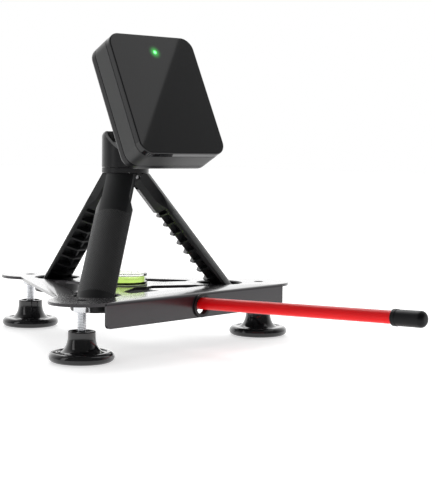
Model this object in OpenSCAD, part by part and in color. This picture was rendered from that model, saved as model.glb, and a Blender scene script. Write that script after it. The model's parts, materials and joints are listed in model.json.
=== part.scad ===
// Golf launch monitor on a folding mini tripod, standing on a three-footed levelling base.
// Millimetres, +Z up. The flange and the alignment rod face -Y. The row's origin is the
// centre of the footprint, at floor level.

/* [Base plate] */
// Radius of the circle through the three levelling feet
foot_circle_r = 100; // [90:1:120]
// Height of the plate's top face above the floor
plate_top_z = 39; // [37:0.5:47]
// Sheet thickness
plate_t = 2; // [1.5:0.1:3]
// Radius of the round lobe over each foot
lobe_r = 21.5; // [18:0.5:24]
// Distance of a side bar's outer edge from the centre
bar_outer = 61; // [58:0.5:66]
// Width of a side bar
bar_w = 16.5; // [12:0.5:20]
// Distance of the flange's outer face from the centre
flange_y = 72.5; // [70:0.5:80]
// Width of the front bar
front_bar_w = 28.6; // [24:0.2:32]
// Length of the flange
flange_l = 173; // [150:1:200]
// Height of the flange, below the plate's top face
flange_h = 16.3; // [16:0.1:20]
// Radius of the flange's lower corners
flange_corner = 3; // [1:0.5:6]
// Width of a spoke
spoke_w = 24; // [18:0.5:28]
// Radius of the central hub
hub_r = 20.5; // [19:0.5:24]

/* [Cups] */
// Radius of the circle through the cup centres
cup_circle_r = 70; // [60:1:76]
// Radius of a cup's hole in the plate
cup_hole_r = 16.4; // [14.5:0.1:20]
// Radius of the plate ring round a cup
cup_rim_r = 25; // [22:0.5:28]
// Depth of a cup below the plate's underside
cup_depth = 8; // [6:0.5:12]
// Cup wall thickness
cup_wall = 1.5; // [1:0.1:2.5]

/* [Levelling feet] */
// Stud diameter
stud_d = 6; // [5:0.5:8]
// Clearance on the radius between a stud and its nut
stud_gap = 0.05; // [0.02:0.01:0.1]
// Largest diameter of a foot knob
knob_d = 41.6; // [36:0.2:50]
// Diameter of a knob's hub
knob_hub_d = 17.6; // [14:0.2:21]
// Height of a knob, floor to hub top
knob_h = 19.8; // [17:0.2:24]
// Thickness of a knob's rubber pad
pad_t = 1.5; // [1:0.1:2]
// Length of a press nut below the plate
nut_l = 5.5; // [4:0.5:7]

/* [Bubble level] */
// Diameter of the vial
vial_d = 32; // [26:0.5:36]
// Height of the vial above its backing disc
vial_h = 7.8; // [6:0.2:10]
// Thickness of the backing disc
backing_t = 0.8; // [0.5:0.1:1.5]

/* [Alignment rod] */
// Rod diameter
rod_d = 8; // [6.5:0.1:8.5]
// Clearance on the radius between the rod and its guide
rod_gap = 0.06; // [0.02:0.01:0.1]
// Wall of the guide tube under the plate
guide_wall = 0.9; // [0.7:0.1:1.5]
// Diameter of the rod's hole in the flange
rod_hole_d = 13.4; // [12:0.2:14]
// Distance from the plate's top to the middle of the rod's hole
rod_hole_drop = 8.4; // [8.2:0.1:9]
// Thickness of the grommet's wall in the hole
grommet_wall = 0.8; // [0.6:0.1:1]
// How far the grommet's front lip stands out from the flange
grommet_lip = 1.2; // [0.8:0.1:2]
// How far the rod rises towards its cap, in degrees
rod_tilt = 1.9; // [0:0.1:2.5]
// Length of the rod outside the flange, without its cap
rod_out = 154; // [120:1:190]
// Length of the rod behind the flange
rod_in = 76; // [60:1:90]
// Length of the end cap beyond the rod
cap_l = 20; // [16:1:32]
// End cap diameter
cap_d = 10.4; // [9:0.1:13]

/* [Tripod] */
// Diameter of the folded handle and of the head
handle_d = 32.6; // [30:0.2:36]
// Angle of an open leg from the vertical
leg_spread = 38.2; // [36:0.2:39]
// How far beyond the middle of its cup an open leg's foot comes down
leg_foot_out = 5; // [0:0.5:5]
// Height of the collar's underside above the floor
collar_z = 117; // [116:0.5:118.5]
// Distance of a leg hinge from the tripod's axis
hinge_r = 7; // [6.5:0.1:7.5]
// Length of the smooth solid top of a leg
leg_top_l = 29; // [22:1:34]
// Spacing of the cross ribs inside a leg
rib_pitch = 8.2; // [6:0.1:11]
// Thickness of a leg's ribs
rib_t = 1.3; // [1:0.1:2]
// Thickness of a leg's outer wall
leg_wall = 2.4; // [1.8:0.1:3]
// Head height above the collar's underside
head_h = 29; // [27:0.5:31]
// Ball diameter
ball_d = 15; // [13:0.5:16]
// Distance from the ball's centre to the back of the radar box
stem_l = 33.5; // [28:0.1:40]

/* [Radar box] */
// Width of the box
box_w = 71; // [65:1:80]
// Height of the box
box_h = 89; // [80:1:100]
// Thickness of the box
box_t = 25; // [22:0.5:30]
// Corner radius of the box, seen from the front
box_corner = 9; // [6:0.5:12]
// Wall thickness of the covers
box_wall = 2; // [1.5:0.1:2.5]
// Depth of the front cover
front_d = 4.6; // [4:0.1:6]
// Depth of the back cover
back_d = 6.2; // [5:0.1:8]
// Height of the stem's axis above the bottom edge of the box
mount_h = 32; // [27:0.5:38]
// Angle that the box leans back from the vertical
lean = 27; // [20:1:40]
// Angle that the head is turned about the vertical
turn = -8; // [-30:1:30]

/* [Hidden] */
$fn = 96;
eps = 0.01;
big = 400;

// Directions of the three arms
AZ_FL = 210;
AZ_FR = 330;
AZ_B = 90;
plate_under_z = plate_top_z - plate_t;
handle_r = handle_d / 2;
knob_r = knob_d / 2;

// The rod's guide lies against the plate's underside
guide_r = rod_d / 2 + rod_gap + guide_wall;
rod_z = plate_under_z - guide_r;
rod_hole_z = plate_top_z - rod_hole_drop;

// The footprint's middle lies forward of the hub, because the rod reaches out
reach_front = flange_y + (rod_out + cap_l - cap_d / 2) * cos(rod_tilt) + cap_d / 2;
reach_back = foot_circle_r + lobe_r;
shift_y = (reach_front - reach_back) / 2;

// Joint gaps
touch_gap = 0.3;
lift_gap = 0.3;

// Leg hinge: placed so that an open leg crosses the plate in the middle of its cup's mouth
leg_inner_r = 3;
leg_mid = (handle_r + leg_inner_r) / 2;
cup_floor_z = plate_under_z - cup_depth + cup_wall;
leg_pad_t = 1.5;
leg_foot_z = cup_floor_z + leg_pad_t;
leg_foot_circle_r = cup_circle_r + leg_foot_out;
hinge_z = leg_foot_z
        + (leg_foot_circle_r - hinge_r - (leg_mid - hinge_r) / cos(leg_spread)) / tan(leg_spread);
leg_l = (hinge_z - leg_foot_z) / cos(leg_spread) + handle_r;
leg_half_angle = 55;
lug_w = 6.6;
lug_slot_w = 7.2;
ear_r = 3;
pin_r = 1.5;
pin_gap = 0.05;

// Head stack
collar_t = 3.5;
head_floor_z = collar_z + collar_t + touch_gap;
head_top_z = collar_z + head_h;
head_floor_t = 2.5;
head_wall = 2.8;
seat_r = handle_r - head_wall;
boss_r = 5;
ball_r = ball_d / 2;
ball_gap = 0.05;
washer_t = 1;
screw_r = 1.5;
screw_head_t = 0.8;
washer_gap = 0.05;
ball_lift = 0.25;
washer_z = head_floor_z + head_floor_t + washer_gap;
ball_z = washer_z + washer_t + screw_head_t + ball_lift + ball_r;

module arm(azimuth) {
    rotate([0, 0, azimuth]) children();
}

// Everything is drawn round the hub and then moved onto the footprint's middle
module row() {
    translate([0, shift_y, 0]) children();
}

// Parts on the stem: drawn with the box upright, its front face on y = 0 and its bottom on z = 0
module on_stem() {
    row()
    translate([0, 0, ball_z])
    rotate([0, 0, turn])
    rotate([-lean, 0, 0])
    translate([0, -box_t - stem_l, -mount_h])
    children();
}

module ring(outer_r, inner_r, h) {
    difference() {
        cylinder(r = outer_r, h = h);
        translate([0, 0, -1]) cylinder(r = inner_r, h = h + 2);
    }
}

module along_y(y0) {
    translate([0, y0, 0]) rotate([-90, 0, 0]) children();
}

// ---------- base ----------

module plate_outline() {
    side_half = foot_circle_r * cos(30);
    circle(r = hub_r);
    for (azimuth = [AZ_FL, AZ_FR, AZ_B]) {
        rotate([0, 0, azimuth]) {
            translate([foot_circle_r, 0]) circle(r = lobe_r);
            translate([cup_circle_r, 0]) circle(r = cup_rim_r);
            translate([0, -spoke_w / 2]) square([foot_circle_r, spoke_w]);
        }
    }
    for (azimuth = [30, 150]) {
        rotate([0, 0, azimuth])
        translate([bar_outer - bar_w, -side_half])
        square([bar_w, 2 * side_half]);
    }
    translate([-side_half, -flange_y + plate_t])
    square([2 * side_half, front_bar_w - plate_t]);
}

module flange_outline() {
    half = flange_l / 2;
    low = flange_h - flange_corner;
    translate([-half, -low]) square([flange_l, low]);
    translate([-half + flange_corner, -flange_h]) square([flange_l - 2 * flange_corner, flange_h]);
    for (side = [-1, 1]) {
        translate([side * (half - flange_corner), -low]) circle(r = flange_corner);
    }
}

stud_hole_gap = 0.4;

module base_plate() {
    color("dimgray")
    row()
    difference() {
        union() {
            translate([0, 0, plate_under_z]) linear_extrude(plate_t) plate_outline();
            translate([0, -flange_y + plate_t, plate_top_z - eps])
            rotate([90, 0, 0])
            linear_extrude(plate_t)
            intersection() {
                flange_outline();
                translate([-big / 2, -big - plate_t]) square([big, big]);
            }
            intersection() {
                translate([-flange_l / 2, -flange_y + plate_t, plate_under_z])
                rotate([0, 90, 0])
                cylinder(r = plate_t, h = flange_l);
                translate([-big / 2, -flange_y - 1, plate_under_z - eps]) cube([big, plate_t + 2, big]);
            }
        }
        for (azimuth = [AZ_FL, AZ_FR, AZ_B]) {
            arm(azimuth) {
                translate([cup_circle_r, 0, 0]) cylinder(r = cup_hole_r, h = big);
                translate([foot_circle_r, 0, 0]) cylinder(r = stud_d / 2 + stud_hole_gap, h = big);
            }
        }
        translate([0, 0, rod_hole_z]) along_y(-flange_y - 1) cylinder(d = rod_hole_d, h = plate_t + 2);
    }
}

nut_wall = 2.2;
nut_flange_w = 4;
nut_flange_t = 1.2;
module press_nuts() {
    color("silver")
    row()
    for (azimuth = [AZ_FL, AZ_FR, AZ_B]) {
        arm(azimuth)
        translate([foot_circle_r, 0, plate_under_z - nut_l])
        difference() {
            union() {
                cylinder(r = stud_d / 2 + nut_wall, h = nut_l);
                translate([0, 0, nut_l - nut_flange_t]) cylinder(r = stud_d / 2 + nut_flange_w, h = nut_flange_t);
            }
            translate([0, 0, -1]) cylinder(r = stud_d / 2 + stud_gap, h = nut_l + 2);
        }
    }
}

cup_gap = 0.1;
cup_recess = 0.4;
cup_lip_w = 2.1;
cup_lip_t = 1.5;
module cup(azimuth) {
    cup_r = cup_hole_r - cup_gap;
    color([0.06, 0.06, 0.065])
    row()
    arm(azimuth)
    translate([cup_circle_r, 0, plate_under_z - cup_depth])
    difference() {
        union() {
            cylinder(r = cup_r, h = cup_depth + plate_t - cup_recess);
            translate([0, 0, cup_depth - cup_lip_t]) cylinder(r = cup_hole_r + cup_lip_w, h = cup_lip_t);
        }
        translate([0, 0, cup_wall]) cylinder(r = cup_r - cup_wall, h = big);
    }
}
module cup_front_left() { cup(AZ_FL); }
module cup_front_right() { cup(AZ_FR); }
module cup_back() { cup(AZ_B); }

// The rubber ring in the rod's hole: lips in front of and behind the flange, and a wall between.
// The back lip is cut flat below the plate.
module rod_grommet() {
    hole_r = rod_hole_d / 2;
    bore_r = hole_r - grommet_wall;
    back_lip = 0.9;
    under_gap = 0.1;
    color([0.03, 0.03, 0.03])
    row() {
        translate([0, 0, rod_hole_z]) {
            along_y(-flange_y - grommet_lip) ring(hole_r + grommet_lip, bore_r, grommet_lip);
            along_y(-flange_y - eps) ring(hole_r, bore_r, plate_t + 2 * eps);
        }
        intersection() {
            translate([0, 0, rod_hole_z])
            along_y(-flange_y + plate_t) ring(hole_r + grommet_lip / 2, bore_r, back_lip);
            translate([-big / 2, -big, -under_gap]) cube([big, big, plate_under_z]);
        }
    }
}

// Places the rod's line: its children run along Y, from the flange's front face
module at_rod() {
    translate([0, -flange_y, rod_z]) rotate([-rod_tilt, 0, 0]) children();
}

guide_start = plate_t + 3;
guide_end_gap = 1;
module rod_guide() {
    guide_l = rod_in - guide_start + guide_end_gap + guide_wall;
    saddle = guide_r * 0.7;
    color([0.05, 0.05, 0.055])
    row()
    difference() {
        union() {
            at_rod() along_y(guide_start) cylinder(r = guide_r, h = guide_l);
            translate([-saddle, guide_start - flange_y, rod_z])
            cube([2 * saddle, guide_l - 1, plate_under_z - rod_z]);
        }
        at_rod()
        along_y(guide_start - 1) cylinder(r = rod_d / 2 + rod_gap, h = guide_l - guide_wall + 1);
    }
}

module level_backing() {
    color("white")
    row()
    translate([0, 0, plate_top_z]) cylinder(d = vial_d, h = backing_t);
}

vial_wall = 1.9;
vial_floor = 1.4;
vial_roof = 1.8;
module vial_cavity(gap) {
    translate([0, 0, vial_floor + gap])
    cylinder(r = vial_d / 2 - vial_wall - gap, h = vial_h - vial_floor - vial_roof - 2 * gap);
}
module level_vial() {
    color([0.9, 0.95, 0.9, 0.4])
    row()
    translate([0, 0, plate_top_z + backing_t])
    difference() {
        union() {
            cylinder(d = vial_d, h = vial_h - 1);
            translate([0, 0, vial_h - 1]) cylinder(d1 = vial_d, d2 = vial_d - 1.4, h = 1);
        }
        vial_cavity(0);
    }
}

bubble_r = 4;
bubble_h = 1.2;
module level_liquid() {
    color([0.65, 0.95, 0.15, 0.7])
    row()
    translate([0, 0, plate_top_z + backing_t])
    difference() {
        vial_cavity(0.02);
        translate([0, 0, vial_h - vial_roof - bubble_h]) cylinder(r = bubble_r, h = bubble_h + 1);
    }
}

// ---------- levelling feet ----------

pad_r = knob_r * 0.72;
module pad(azimuth) {
    color([0.05, 0.05, 0.05])
    row()
    arm(azimuth)
    translate([foot_circle_r, 0, 0])
    cylinder(r = pad_r, h = pad_t);
}
module pad_front_left() { pad(AZ_FL); }
module pad_front_right() { pad(AZ_FR); }
module pad_back() { pad(AZ_B); }

knob_low = 0.5;
knob_rim = 3.2;
knob_foot_z = pad_t + 0.1;
module knob_profile() {
    hub = knob_hub_d / 2;
    flare = knob_r - knob_rim - hub;
    flare_top = knob_low + 2 * knob_rim + flare;
    difference() {
        union() {
            translate([0, knob_low]) square([knob_r - knob_rim, 2 * knob_rim - 0.6]);
            intersection() {
                translate([knob_r - knob_rim, knob_low + knob_rim]) circle(r = knob_rim);
                square([big, knob_low + 2 * knob_rim]);
            }
            square_top = min(flare_top, knob_h - 1);
            difference() {
                translate([0, knob_low + knob_rim])
                square([knob_r - knob_rim - 0.5, square_top - knob_low - knob_rim]);
                translate([knob_r - knob_rim, knob_low + 2 * knob_rim - 0.6 + flare]) circle(r = flare);
            }
            square([hub - 0.8, knob_h]);
            square([hub, knob_h - 0.8]);
            translate([hub - 0.8, knob_h - 0.8]) circle(r = 0.8);
        }
        translate([-1, -1]) square([pad_r + 0.2 + 1, knob_foot_z + 1]);
        translate([-1, knob_h - 1.6]) square([hub - 2.4 + 1, 3]);
        translate([-1, -1]) square([stud_d / 2 + 1, big]);
        translate([-big, -1]) square([big, big]);
    }
}

module knob(azimuth) {
    color([0.05, 0.05, 0.055])
    row()
    arm(azimuth)
    translate([foot_circle_r, 0, 0])
    rotate_extrude() knob_profile();
}
module knob_front_left() { knob(AZ_FL); }
module knob_front_right() { knob(AZ_FR); }
module knob_back() { knob(AZ_B); }

stud_low = 4;
module stud(azimuth) {
    stud_top = plate_top_z - 0.6;
    color("silver")
    row()
    arm(azimuth)
    translate([foot_circle_r, 0, stud_low]) {
        cylinder(d = stud_d, h = stud_top - stud_low - 0.8);
        translate([0, 0, stud_top - stud_low - 0.8]) cylinder(d1 = stud_d, d2 = stud_d - 1.6, h = 0.8);
    }
}
module stud_front_left() { stud(AZ_FL); }
module stud_front_right() { stud(AZ_FR); }
module stud_back() { stud(AZ_B); }

// ---------- alignment rod ----------

module alignment_rod() {
    color("red")
    row()
    at_rod()
    along_y(-rod_out) cylinder(d = rod_d, h = rod_out + rod_in);
}

module rod_cap() {
    dome = cap_d / 2;
    cap_lap = 2;
    color([0.04, 0.04, 0.04])
    row()
    at_rod()
    along_y(-rod_out - cap_l)
    rotate_extrude()
    difference() {
        union() {
            translate([0, dome]) square([dome, cap_l + cap_lap - dome]);
            intersection() {
                translate([0, dome]) circle(r = dome);
                square([dome, dome + eps]);
            }
        }
        translate([-1, cap_l]) square([rod_d / 2 + 1, big]);
    }
}

// ---------- tripod ----------

module leg_yoke() {
    color([0.09, 0.09, 0.1])
    row()
    difference() {
        union() {
            translate([0, 0, collar_z]) cylinder(r = handle_r, h = collar_t);
            translate([0, 0, collar_z + collar_t - eps])
            cylinder(r = boss_r, h = washer_z - collar_z - collar_t - 0.02 + eps);
            for (azimuth = [AZ_FL, AZ_FR, AZ_B]) {
                arm(azimuth) {
                    translate([hinge_r, lug_w / 2, hinge_z])
                    rotate([90, 0, 0])
                    cylinder(r = ear_r, h = lug_w);
                    translate([hinge_r - ear_r, -lug_w / 2, hinge_z])
                    cube([2 * ear_r, lug_w, collar_z - hinge_z + eps]);
                }
            }
        }
        for (azimuth = [AZ_FL, AZ_FR, AZ_B]) {
            arm(azimuth)
            translate([hinge_r, lug_w, hinge_z])
            rotate([90, 0, 0])
            cylinder(r = pin_r, h = 2 * lug_w);
        }
        translate([0, 0, collar_z - 1]) cylinder(r = screw_r, h = big);
    }
}

pin_l = 12.4;
module hinge_pins() {
    color("silver")
    row()
    for (azimuth = [AZ_FL, AZ_FR, AZ_B]) {
        arm(azimuth)
        translate([hinge_r, pin_l / 2, hinge_z])
        rotate([90, 0, 0])
        cylinder(r = pin_r, h = pin_l);
    }
}

washer_r = 8.5;
screw_head_r = 3.2;
module pan_washer() {
    color("silver")
    row()
    translate([0, 0, washer_z]) ring(washer_r, screw_r + pin_gap, washer_t);
}

module pan_screw() {
    color("gray")
    row() {
        translate([0, 0, collar_z + 0.5]) cylinder(r = screw_r, h = washer_z + washer_t - collar_z);
        translate([0, 0, washer_z + washer_t]) cylinder(r = screw_head_r, h = screw_head_t);
    }
}

// A leg is drawn closed, as one third of the handle along +X with its hinge at the origin,
// running down -Z, and is then swung out
module leg_sector() {
    translate([-hinge_r, 0, -leg_l])
    intersection() {
        cylinder(r = handle_r, h = leg_l + ear_r);
        translate([0, 0, -1])
        linear_extrude(leg_l + ear_r + 2)
        polygon([
            [leg_inner_r, -leg_inner_r * tan(leg_half_angle)],
            [handle_r * 2, -handle_r * 2 * tan(leg_half_angle)],
            [handle_r * 2, handle_r * 2 * tan(leg_half_angle)],
            [leg_inner_r, leg_inner_r * tan(leg_half_angle)]
        ]);
    }
}

// A leg's top clears the collar when closed, and its neighbours when open
leg_top_s = collar_z - lift_gap - hinge_z;
neighbour_gap = 0.15;
module between_neighbours() {
    apex = neighbour_gap / sin(60);
    linear_extrude(big)
    polygon([[apex, 0], [big, (apex - big) * tan(60)], [big, (big - apex) * tan(60)]]);
}

leg_top_half = 9.6;
leg_wide_half = 12.7;
leg_foot_half = 12.4;
leg_step_s = 21;
leg_solid_foot = 15;
module leg_front_shape() {
    translate([big / 2, 0, 0])
    rotate([90, 0, -90])
    linear_extrude(big)
    polygon([
        [-leg_top_half, ear_r], [-leg_top_half, -leg_step_s],
        [-leg_wide_half, -leg_step_s - 8], [-leg_foot_half, -leg_l],
        [leg_foot_half, -leg_l], [leg_wide_half, -leg_step_s - 8],
        [leg_top_half, -leg_step_s], [leg_top_half, ear_r]
    ]);
}

module leg_inside() {
    tube_inner = handle_r - leg_wall;
    first = leg_top_l + rib_pitch / 2;
    last = leg_l - leg_solid_foot;
    // Outer wall
    translate([-hinge_r, 0, -leg_l])
    difference() {
        cylinder(r = handle_r + 1, h = leg_l);
        translate([0, 0, -1]) cylinder(r = tube_inner, h = leg_l + 2);
    }
    // Solid top and foot
    translate([-hinge_r, -big / 2, -leg_top_l]) cube([big, big, leg_top_l]);
    translate([-hinge_r, -big / 2, -leg_l]) cube([big, big, leg_solid_foot]);
    // Middle web and lengthwise rib
    translate([-hinge_r + 4.6, -rib_t / 2, -leg_l]) cube([handle_r, rib_t, leg_l]);
    translate([-hinge_r + leg_mid - rib_t / 2, -big / 2, -leg_l]) cube([rib_t, big, leg_l]);
    // Cross ribs
    for (s = [first : rib_pitch : last]) {
        translate([-hinge_r, -big / 2, -s]) cube([big, big, rib_t]);
    }
    // Hinge ears
    translate([0, big / 2, 0]) rotate([90, 0, 0]) cylinder(r = ear_r, h = big);
}

module leg(azimuth) {
    color([0.1, 0.1, 0.105])
    row()
    arm(azimuth)
    intersection() {
        translate([hinge_r, 0, hinge_z])
        rotate([0, -leg_spread, 0])
        difference() {
            intersection() {
                leg_sector();
                leg_front_shape();
                leg_inside();
                translate([-big / 2, -big / 2, leg_top_s - big]) cube([big, big, big]);
            }
            translate([-hinge_r - 1, -lug_slot_w / 2, -ear_r - 5])
            cube([hinge_r + 1 + 5.6, lug_slot_w, big]);
            translate([0, big / 2, 0]) rotate([90, 0, 0]) cylinder(r = pin_r + pin_gap, h = big);
        }
        translate([-big / 2, -big / 2, leg_foot_z])
        cube([big, big, collar_z - lift_gap - leg_foot_z]);
        between_neighbours();
    }
}
module leg_front_left() { leg(AZ_FL); }
module leg_front_right() { leg(AZ_FR); }
module leg_back() { leg(AZ_B); }

leg_pad_r = 7.5;
module leg_pad(azimuth) {
    color([0.04, 0.04, 0.04])
    row()
    arm(azimuth)
    translate([leg_foot_circle_r, 0, cup_floor_z + 0.05])
    cylinder(r = leg_pad_r, h = leg_pad_t - 0.05);
}
module leg_pad_front_left() { leg_pad(AZ_FL); }
module leg_pad_front_right() { leg_pad(AZ_FR); }
module leg_pad_back() { leg_pad(AZ_B); }

// The head's front is cut low to let the stem swing down
slant_low = ball_z - 7;
module slant_cut(drop) {
    low_y = -handle_r;
    high_y = 8;
    low_z = slant_low - drop;
    high_z = head_top_z + 0.01;
    slope = (high_z - slant_low) / (high_y - low_y);
    translate([big / 2, 0, 0])
    rotate([90, 0, -90])
    linear_extrude(big)
    polygon([
        [-low_y + 20, low_z - 20 * slope],
        [-high_y - 40, high_z - drop + 40 * slope],
        [-low_y + 20, big]
    ]);
}

head_edge_r = 4.5;
module head_shell() {
    color([0.07, 0.07, 0.075])
    row()
    difference() {
        translate([0, 0, head_floor_z])
        rotate_extrude() {
            h = head_top_z - head_floor_z;
            difference() {
                union() {
                    square([handle_r, h - head_edge_r]);
                    square([handle_r - head_edge_r, h]);
                    intersection() {
                        translate([handle_r - head_edge_r, h - head_edge_r]) circle(r = head_edge_r);
                        square([handle_r, h]);
                    }
                }
                translate([-1, head_floor_t]) square([seat_r + 1, h]);
                translate([-1, -1]) square([boss_r + pin_gap + 1, head_floor_t + 2]);
            }
        }
        slant_cut(0);
    }
}

fit_gap = 0.02;
seat_low_z = washer_z + 0.15;
stem_slot = 8.6;
module ball_seat() {
    color([0.2, 0.2, 0.2])
    row()
    difference() {
        translate([0, 0, seat_low_z]) cylinder(r = seat_r - fit_gap, h = ball_z - seat_low_z);
        translate([0, 0, seat_low_z - 1]) cylinder(r = washer_r + 0.7, h = washer_t + screw_head_t + 1.2);
        translate([0, 0, ball_z]) sphere(r = ball_r + ball_gap);
        rotate([0, 0, turn])
        translate([-stem_slot / 2, -big, ball_z - 3.8]) cube([stem_slot, big, big]);
        slant_cut(1);
    }
}

collar_h = 5;
module ball_collar() {
    color([0.2, 0.2, 0.2])
    row()
    difference() {
        translate([0, 0, ball_z + 0.1]) cylinder(r = seat_r - fit_gap, h = collar_h);
        translate([0, 0, ball_z]) sphere(r = ball_r + ball_gap);
        rotate([0, 0, turn])
        translate([-stem_slot / 2, 3 - big, 0]) cube([stem_slot, big, big]);
        rotate([0, 0, turn]) slant_cut(1);
    }
}

neck_r = 3.5;
tip_r = 3.1;
wheel_t = 4;
wheel_r = 9;
mount_pad_t = 1;
insert_depth = 4.4;
module ball_stem() {
    ball_y = box_t + stem_l;
    color("gray")
    on_stem()
    translate([0, 0, mount_h]) {
        translate([0, ball_y, 0]) sphere(r = ball_r);
        along_y(box_t + mount_pad_t + wheel_t) cylinder(r = neck_r, h = stem_l - mount_pad_t - wheel_t);
        along_y(box_t - insert_depth + 0.4) cylinder(r = tip_r, h = insert_depth + mount_pad_t + wheel_t);
    }
}

// The wheel turns between the pad and the stem's shoulder
wheel_gap = 0.04;
module thumb_wheel() {
    teeth = 24;
    color([0.08, 0.08, 0.08])
    on_stem()
    translate([0, 0, mount_h])
    along_y(box_t + mount_pad_t + wheel_gap)
    difference() {
        cylinder(r = wheel_r, h = wheel_t - 2 * wheel_gap);
        translate([0, 0, -1]) cylinder(r = tip_r + pin_gap, h = wheel_t + 2);
        for (i = [0 : teeth - 1]) {
            rotate([0, 0, i * 360 / teeth]) translate([wheel_r + 0.3, 0, -1]) cylinder(r = 0.7, h = wheel_t + 2);
        }
    }
}

module mount_pad() {
    color([0.05, 0.05, 0.05])
    on_stem()
    translate([0, 0, mount_h])
    along_y(box_t) ring(wheel_r, tip_r + 0.3, mount_pad_t);
}

// ---------- radar box ----------

// Rounded rectangle standing in XZ, pushed back along +Y
module slab(inset, y0, depth) {
    w = box_w - 2 * inset;
    h = box_h - 2 * inset;
    r = box_corner - inset;
    translate([0, y0 + depth, inset])
    rotate([90, 0, 0])
    linear_extrude(depth) {
        translate([-w / 2 + r, 0]) square([w - 2 * r, h]);
        translate([-w / 2, r]) square([w, h - 2 * r]);
        for (x = [-w / 2 + r, w / 2 - r]) {
            for (z = [r, h - r]) {
                translate([x, z]) circle(r = r);
            }
        }
    }
}

seam = 0.5;
seam_inset = 0.7;
band_y = front_d + seam;
band_d = box_t - front_d - back_d - 2 * seam;
back_y = box_t - back_d;
led_z = box_h - 13.2;
pipe_r = 1.2;

// Case screws stand in the four corners
module at_screws() {
    for (x = [-1, 1]) {
        for (z = [box_corner, box_h - box_corner]) {
            translate([x * (box_w / 2 - box_corner), 0, z]) children();
        }
    }
}

module front_cover() {
    color([0.12, 0.12, 0.125])
    on_stem()
    difference() {
        union() {
            slab(0.8, 0, 0.8);
            slab(0, 0.8, front_d - 0.8);
        }
        slab(box_wall, box_wall, front_d);
        translate([0, 0, led_z]) along_y(-1) cylinder(r = pipe_r, h = front_d + 2);
    }
}

module gasket(y0) {
    color([0.02, 0.02, 0.02])
    on_stem()
    difference() {
        slab(seam_inset, y0, seam);
        slab(box_wall, y0 - 1, seam + 2);
    }
}
module front_gasket() { gasket(front_d); }
module back_gasket() { gasket(back_y - seam); }

// Side openings in the band: the power button near the top, the charging port near the bottom
side_y = band_y + band_d / 2;
button_z = box_h * 0.74;
button_l = 12;
button_w = 4;
button_travel = 0.6;
button_gap = 0.25;
boss_outer_r = 3;
boss_rib_t = 1.6;
case_screw_r = 1.1;
port_z = 22;
port_l = 9;
port_inner_x = box_w / 2 - box_wall - 9.5;
port_outer_x = box_w / 2 - box_wall - 0.2;
flap_l = 14;
flap_w = 7;
flap_t = 1.3;
flap_gap = 0.25;
flap_hinge_r = flap_t / 2;
flap_hinge_x = box_w / 2 - flap_hinge_r;
flap_hinge_y = side_y - flap_w / 2 + flap_hinge_r;

module stadium(x0, x1, z, l, w) {
    translate([x0, side_y, z])
    rotate([0, 90, 0])
    union() {
        translate([-(l - w) / 2, -w / 2, 0]) cube([l - w, w, x1 - x0]);
        for (side = [-1, 1]) {
            translate([side * (l - w) / 2, 0, 0]) cylinder(d = w, h = x1 - x0);
        }
    }
}

module mid_band() {
    color([0.33, 0.34, 0.335])
    on_stem()
    difference() {
        union() {
            difference() {
                slab(0, band_y, band_d);
                slab(box_wall, band_y - 1, band_d + 2);
            }
            at_screws() along_y(band_y) cylinder(r = boss_outer_r, h = band_d);
            // Ribs that hold the screw bosses to the side walls
            for (x = [-box_w / 2 + box_wall / 2, box_w / 2 - box_corner]) {
                for (z = [box_corner, box_h - box_corner]) {
                    translate([x, band_y, z - boss_rib_t / 2])
                    cube([box_corner - box_wall / 2, band_d, boss_rib_t]);
                }
            }
        }
        at_screws() along_y(band_y - 1) cylinder(r = case_screw_r, h = band_d + 2);
        stadium(box_w / 2 - 5, box_w / 2 + 1, button_z, button_l + 2 * button_gap, button_w + 2 * button_gap);
        translate([flap_hinge_x - flap_hinge_r - flap_gap, flap_hinge_y - flap_hinge_r - flap_gap,
                   port_z - flap_l / 2 - flap_gap])
        cube([flap_t + flap_gap + 1, flap_w + 2 * flap_gap, flap_l + 2 * flap_gap]);
        stadium(box_w / 2 - 6, box_w / 2 + 1, port_z, 9.4, 3.6);
    }
}

screw_sink = 2.4;
screw_cap_r = 2.2;
module back_cover() {
    edge = 2.5;
    color([0.1, 0.1, 0.105])
    on_stem()
    difference() {
        union() {
            slab(0, back_y, back_d - edge);
            slab(0.34, back_y + back_d - edge - eps, 1.25);
            slab(1.25, back_y + back_d - edge - eps, 2.16);
            slab(edge, back_y + back_d - edge - eps, edge + eps);
        }
        difference() {
            slab(box_wall, back_y - 1, back_d + 1 - box_wall);
            translate([0, 0, mount_h]) along_y(back_y - 2) cylinder(r = insert_boss_r, h = big);
            at_screws() along_y(back_y - 2) cylinder(r = boss_outer_r + 0.4, h = big);
        }
        translate([0, 0, mount_h]) along_y(box_t - insert_depth) cylinder(r = insert_r, h = big);
        at_screws() {
            along_y(0) cylinder(r = case_screw_r + 0.2, h = big);
            along_y(box_t - screw_sink) cylinder(r = screw_cap_r + 0.1, h = big);
        }
    }
}

insert_r = 4.6;
insert_boss_r = insert_r + 2;
module thread_insert() {
    color("gold")
    on_stem()
    translate([0, 0, mount_h])
    along_y(box_t - insert_depth) ring(insert_r, tip_r, insert_depth);
}

screw_cap_t = 1.4;
module case_screws() {
    color("gray")
    on_stem()
    at_screws() {
        along_y(band_y + 2) cylinder(r = case_screw_r, h = box_t - band_y - 2 - screw_sink);
        along_y(box_t - screw_sink) cylinder(r = screw_cap_r, h = screw_cap_t);
    }
}

module light_pipe() {
    color([0.3, 0.95, 0.45])
    on_stem()
    translate([0, 0, led_z]) along_y(0.3) cylinder(r = pipe_r, h = antenna_y - 0.8 - 0.3 - 0.1);
}

antenna_y = front_d + 1.2;
board_t = 1.2;
module led() {
    color([0.8, 1, 0.8])
    on_stem()
    translate([-1.5, antenna_y - 0.8, led_z - 1]) cube([3, 0.8, 2]);
}

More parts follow.
